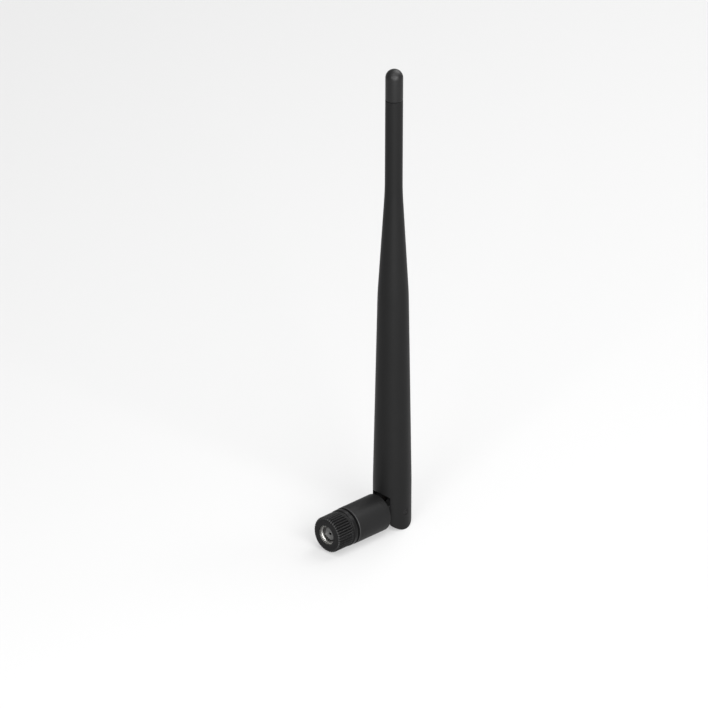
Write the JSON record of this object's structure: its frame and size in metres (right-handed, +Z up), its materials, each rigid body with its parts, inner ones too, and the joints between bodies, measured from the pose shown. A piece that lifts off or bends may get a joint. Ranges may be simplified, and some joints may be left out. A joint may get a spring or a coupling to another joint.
{
  "type": "omnidirectional antenna",
  "caption": "Tapered omnidirectional whip antenna whose blade tilts on a swivelling elbow behind a knurled coupling nut.",
  "frame": {"origin": "centre of the plug's mating plane, at the tip of its sleeve", "axes": "-Y out of the coupling nut towards the socket, X along the tilt hinge, +Z up the blade when it is bent 90 degrees"},
  "size_m": [0.013, 0.0376, 0.1704],
  "materials": {
    "radome_plastic": "satin moulded black plastic",
    "cap_plastic": "smooth moulded black plastic, a little glossier than the radome",
    "barrel_plastic": "satin moulded black plastic",
    "grip_plastic": "moulded black plastic with straight ridges",
    "pin_plastic": "black pin head",
    "nickel_plating": "satin nickel plating on turned brass",
    "dull_nickel": "dull nickel plating on turned brass",
    "spring_steel": "bright spring steel",
    "brass": "drawn tube, lightly oxidised",
    "copper": "bare drawn wire",
    "copper_braid": "silvered braid",
    "ptfe": "plain waxy white",
    "cable_jacket": "translucent brown fluoropolymer",
    "silicone": "plain",
    "rubber": "plain",
    "heat_shrink": "shrunk tube",
    "foam": "open-cell foam"
  },
  "bodies": {
    "plug": {"plug_body": "dull_nickel", "plug_insulator": "ptfe", "socket_contact": "dull_nickel", "sealing_gasket": "silicone", "nut_snap_ring": "spring_steel", "swivel_o_ring": "rubber", "crimp_ferrule": "nickel_plating", "coax_lower": "cable_jacket"},
    "nut": {"coupling_nut": "nickel_plating", "knurled_sleeve": "grip_plastic"},
    "elbow": {"elbow_barrel": "barrel_plastic", "friction_washer_left": "spring_steel", "friction_washer_right": "spring_steel", "coax_hinge_bend": "cable_jacket"},
    "blade": {"radome": "radome_plastic", "tip_cap": "cap_plastic", "hinge_pin_left": "pin_plastic", "hinge_pin_right": "pin_plastic", "coax_jacket": "cable_jacket", "coax_braid": "copper_braid", "coax_dielectric": "ptfe", "coax_core": "copper", "choke_sleeve": "brass", "choke_liner": "ptfe", "lower_radiator": "copper", "feed_heat_shrink": "heat_shrink", "phasing_coil": "copper", "coil_former": "ptfe", "upper_radiator": "copper", "foam_collar_lower": "foam", "foam_collar_upper": "foam"}
  },
  "joints": [
    {"name": "nut_spin", "type": "hinge", "parent": "plug", "child": "nut", "pos_m": [0, 0, 0], "axis": [0, 1, 0], "continuous": true},
    {"name": "elbow_swivel", "type": "hinge", "parent": "plug", "child": "elbow", "pos_m": [0, 0, 0], "axis": [0, 1, 0], "range_deg": [-175, 175]},
    {"name": "blade_tilt", "type": "hinge", "parent": "elbow", "child": "blade", "pos_m": [0, 0.02925, 0], "axis": [-1, 0, 0], "range_deg": [0, 90], "deforming": ["coax_hinge_bend"]}
  ]
}
